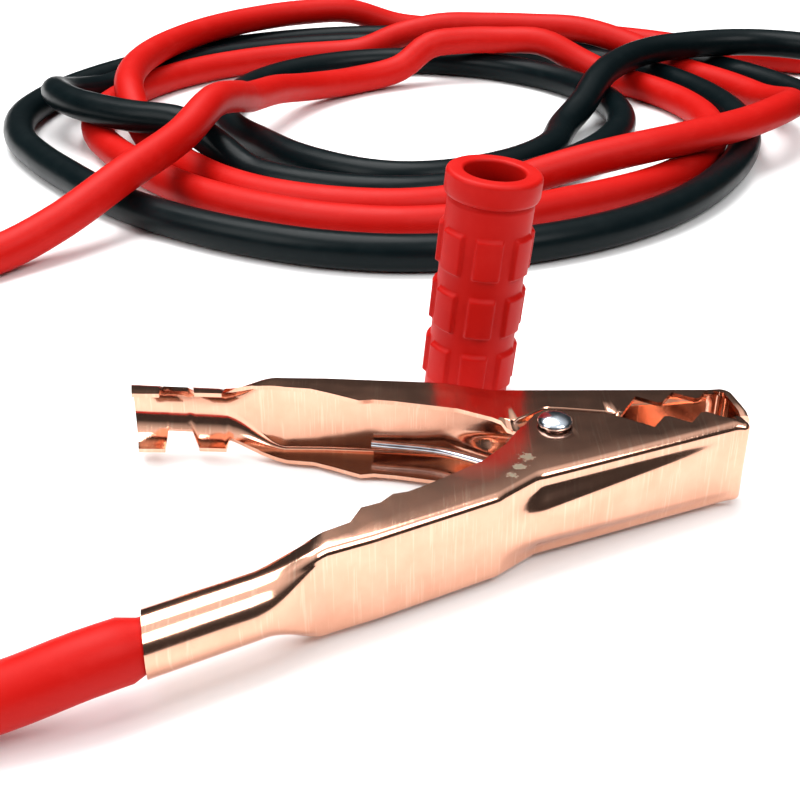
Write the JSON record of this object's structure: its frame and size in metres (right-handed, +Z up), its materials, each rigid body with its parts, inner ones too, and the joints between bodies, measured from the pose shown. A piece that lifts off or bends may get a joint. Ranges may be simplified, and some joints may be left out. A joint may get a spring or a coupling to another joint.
{
  "type": "car jumper cable",
  "caption": "Set of two loosely coiled battery cables, one red and one black, with toothed copper-plated spring clamps at their ends and vinyl grip sleeves, one clamp left bare.",
  "frame": {"origin": "under the middle of the four clamps and the loose sleeve, on the floor that the set lies on", "axes": "+Z up from the floor; +X to the right as the picture is seen, towards the sleeved clamps; +Y away from the camera, towards the coil"},
  "size_m": [0.5055, 0.4322, 0.0497],
  "materials": {
    "copper": "steel sheet with bright copper plating, lightly scratched",
    "chrome": "bright plated rivet and spring wire",
    "red_vinyl": "soft satin red vinyl",
    "black_vinyl": "soft satin black vinyl"
  },
  "bodies": {
    "cable_set": {"red_near_outer_jaw": "copper", "red_near_rivet": "chrome", "red_near_spring": "chrome", "red_far_outer_jaw": "copper", "red_far_rivet": "chrome", "red_far_spring": "chrome", "red_far_outer_sleeve": "red_vinyl", "black_far_outer_jaw": "copper", "black_far_rivet": "chrome", "black_far_spring": "chrome", "black_far_outer_sleeve": "black_vinyl", "black_near_outer_jaw": "copper", "black_near_rivet": "chrome", "black_near_spring": "chrome", "black_near_outer_sleeve": "black_vinyl", "loose_sleeve": "red_vinyl", "slid_sleeve": "red_vinyl", "red_cable_front": "red_vinyl", "red_cable_back": "red_vinyl", "red_cable_coil": "red_vinyl", "black_cable_front": "black_vinyl", "black_cable_back": "black_vinyl", "black_cable_coil": "black_vinyl"},
    "red_near_inner_jaw_body": {"red_near_inner_jaw": "copper"},
    "red_far_inner_jaw_body": {"red_far_inner_jaw": "copper", "red_far_inner_sleeve": "red_vinyl"},
    "black_far_inner_jaw_body": {"black_far_inner_jaw": "copper", "black_far_inner_sleeve": "black_vinyl"},
    "black_near_inner_jaw_body": {"black_near_inner_jaw": "copper", "black_near_inner_sleeve": "black_vinyl"}
  },
  "joints": [
    {"name": "red_near_pivot", "type": "hinge", "parent": "cable_set", "child": "red_near_inner_jaw_body", "pos_m": [-0.11807, -0.09549, 0.0096], "axis": [0, 0, 1], "range_deg": [0, 28], "stiffness_Nm_per_rad": 1, "springref_deg": -28.65, "deforming": ["red_near_spring"]},
    {"name": "red_far_pivot", "type": "hinge", "parent": "cable_set", "child": "red_far_inner_jaw_body", "pos_m": [0.15463, 0.06941, 0.0115], "axis": [0, 0, 1], "range_deg": [0, 28], "stiffness_Nm_per_rad": 1, "springref_deg": -28.65, "deforming": ["red_far_spring"]},
    {"name": "black_far_pivot", "type": "hinge", "parent": "cable_set", "child": "black_far_inner_jaw_body", "pos_m": [0.06363, 0.06941, 0.0115], "axis": [0, 0, 1], "range_deg": [0, 28], "stiffness_Nm_per_rad": 1, "springref_deg": -28.65, "deforming": ["black_far_spring"]},
    {"name": "black_near_pivot", "type": "hinge", "parent": "cable_set", "child": "black_near_inner_jaw_body", "pos_m": [0.04063, -0.07059, 0.0115], "axis": [0, 0, 1], "range_deg": [0, 28], "stiffness_Nm_per_rad": 1, "springref_deg": -28.65, "deforming": ["black_near_spring"]}
  ]
}
